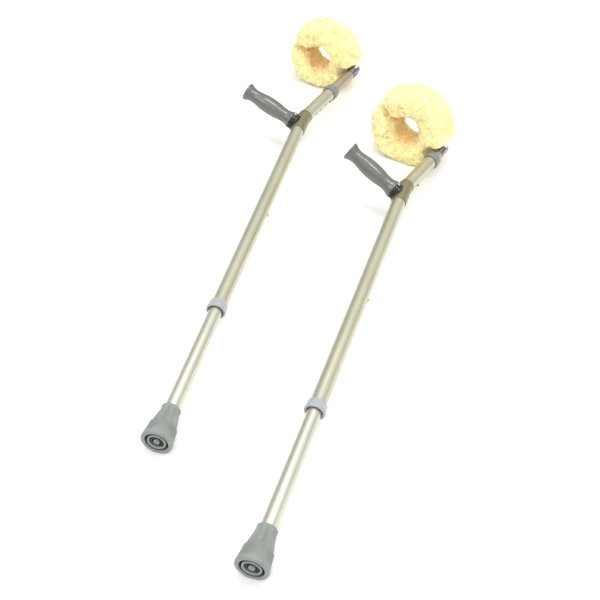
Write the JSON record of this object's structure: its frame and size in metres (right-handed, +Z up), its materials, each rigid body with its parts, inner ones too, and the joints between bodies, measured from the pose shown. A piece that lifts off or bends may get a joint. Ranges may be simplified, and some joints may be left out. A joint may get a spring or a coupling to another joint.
{
  "type": "forearm crutches",
  "caption": "Pair of double-adjustable forearm crutches: bent aluminium tubes, snap buttons, forward hand grips, hinged cuffs covered in sheepskin, rubber feet.",
  "frame": {"origin": "centre of the pair's footprint on the floor, at floor height (bottom centre of the bounding box)", "axes": "+Z up from the floor the pair lies on; +Y along the shafts from the rubber feet to the arm cuffs; +X towards the right-hand crutch's outer side, away from its handle"},
  "size_m": [0.4068, 1.2696, 0.1392],
  "materials": {
    "aluminium": "satin anodised, pale champagne",
    "olive_aluminium": "satin, darker olive",
    "rubber": "matt grey-green",
    "collar_plastic": "blue-grey, satin",
    "grip_plastic": "mid-grey, semi-gloss",
    "black_plastic": "black",
    "brass": "polished",
    "steel": "bright plated",
    "black_steel": "dark grey, glossy",
    "nylon": "off-white",
    "sheepskin": "cream-yellow wool pile"
  },
  "bodies": {
    "right_main": {"right_main_tube": "aluminium", "right_lower_collar": "collar_plastic", "right_upper_collar": "collar_plastic", "right_handle_saddle": "olive_aluminium", "right_handle_core": "aluminium", "right_handle_flange": "black_plastic", "right_handle_rivet": "steel", "right_hand_grip": "grip_plastic", "right_handle_end_plug": "grip_plastic"},
    "right_leg": {"right_leg_tube": "aluminium", "right_leg_tube_plug": "nylon", "right_leg_spring": "steel", "right_ferrule": "rubber", "right_ferrule_washer": "steel"},
    "right_leg_button": {"right_leg_button": "brass"},
    "right_forearm": {"right_forearm_tube": "aluminium", "right_forearm_spring": "steel", "right_cuff_fork": "black_steel", "right_fork_rivet": "steel", "right_pivot_pin": "steel", "right_pivot_washer_inner": "nylon", "right_pivot_washer_outer": "nylon"},
    "right_forearm_button": {"right_forearm_button": "brass"},
    "right_cuff": {"right_cuff_tab": "black_steel", "right_cuff_band": "black_plastic", "right_cuff_rivet_upper": "steel", "right_cuff_rivet_lower": "steel", "right_cuff_fleece": "sheepskin"},
    "left_main": {"left_main_tube": "aluminium", "left_lower_collar": "collar_plastic", "left_upper_collar": "collar_plastic", "left_handle_saddle": "olive_aluminium", "left_handle_core": "aluminium", "left_handle_flange": "black_plastic", "left_handle_rivet": "steel", "left_hand_grip": "grip_plastic", "left_handle_end_plug": "grip_plastic"},
    "left_leg": {"left_leg_tube": "aluminium", "left_leg_tube_plug": "nylon", "left_leg_spring": "steel", "left_ferrule": "rubber", "left_ferrule_washer": "steel"},
    "left_leg_button": {"left_leg_button": "brass"},
    "left_forearm": {"left_forearm_tube": "aluminium", "left_forearm_spring": "steel", "left_cuff_fork": "black_steel", "left_fork_rivet": "steel", "left_pivot_pin": "steel", "left_pivot_washer_inner": "nylon", "left_pivot_washer_outer": "nylon"},
    "left_forearm_button": {"left_forearm_button": "brass"},
    "left_cuff": {"left_cuff_tab": "black_steel", "left_cuff_band": "black_plastic", "left_cuff_rivet_upper": "steel", "left_cuff_rivet_lower": "steel", "left_cuff_fleece": "sheepskin"}
  },
  "joints": [
    {"name": "right_leg_slide", "type": "slide", "parent": "right_main", "child": "right_leg", "axis": [0, 0.9996, 0.027], "range_m": [-0.1016, 0.0508]},
    {"name": "right_leg_button_press", "type": "slide", "parent": "right_leg", "child": "right_leg_button", "axis": [-0.8643, -0.0136, 0.5028], "range_m": [0, 0.0045], "stiffness_N_per_m": 1500, "deforming": ["right_leg_spring"]},
    {"name": "right_forearm_slide", "type": "slide", "parent": "right_main", "child": "right_forearm", "axis": [0.2091, 0.9732, -0.0954], "range_m": [0, 0.06], "deforming": ["right_forearm_button"]},
    {"name": "right_forearm_button_press", "type": "slide", "parent": "right_forearm", "child": "right_forearm_button", "axis": [-0.8386, 0.2286, 0.4944], "range_m": [0, 0.0045], "stiffness_N_per_m": 1500, "deforming": ["right_forearm_spring"]},
    {"name": "right_cuff_hinge", "type": "hinge", "parent": "right_forearm", "child": "right_cuff", "pos_m": [0.19111, 0.35447, 0.03033], "axis": [0.503, -0.0234, 0.864], "range_deg": [-20, 6]},
    {"name": "left_crutch_apart", "type": "slide", "parent": "right_main", "child": "left_main", "axis": [-1, 0, 0], "range_m": [0, 0.25]},
    {"name": "left_leg_slide", "type": "slide", "parent": "left_main", "child": "left_leg", "axis": [-0.0488, 0.9982, 0.034], "range_m": [-0.1016, 0.0508]},
    {"name": "left_leg_button_press", "type": "slide", "parent": "left_leg", "child": "left_leg_button", "axis": [-0.93, -0.0579, 0.363], "range_m": [0, 0.0045], "stiffness_N_per_m": 1500, "deforming": ["left_leg_spring"]},
    {"name": "left_forearm_slide", "type": "slide", "parent": "left_main", "child": "left_forearm", "axis": [0.1776, 0.9826, -0.0548], "range_m": [-0.06, 0], "deforming": ["left_forearm_button"]},
    {"name": "left_forearm_button_press", "type": "slide", "parent": "left_forearm", "child": "left_forearm_button", "axis": [-0.9142, 0.1854, 0.3605], "range_m": [0, 0.0045], "stiffness_N_per_m": 1500, "deforming": ["left_forearm_spring"]},
    {"name": "left_cuff_hinge", "type": "hinge", "parent": "left_forearm", "child": "left_cuff", "pos_m": [-0.044, 0.57275, 0.0395], "axis": [0.3644, -0.0139, 0.9312], "range_deg": [-20, 6]}
  ]
}
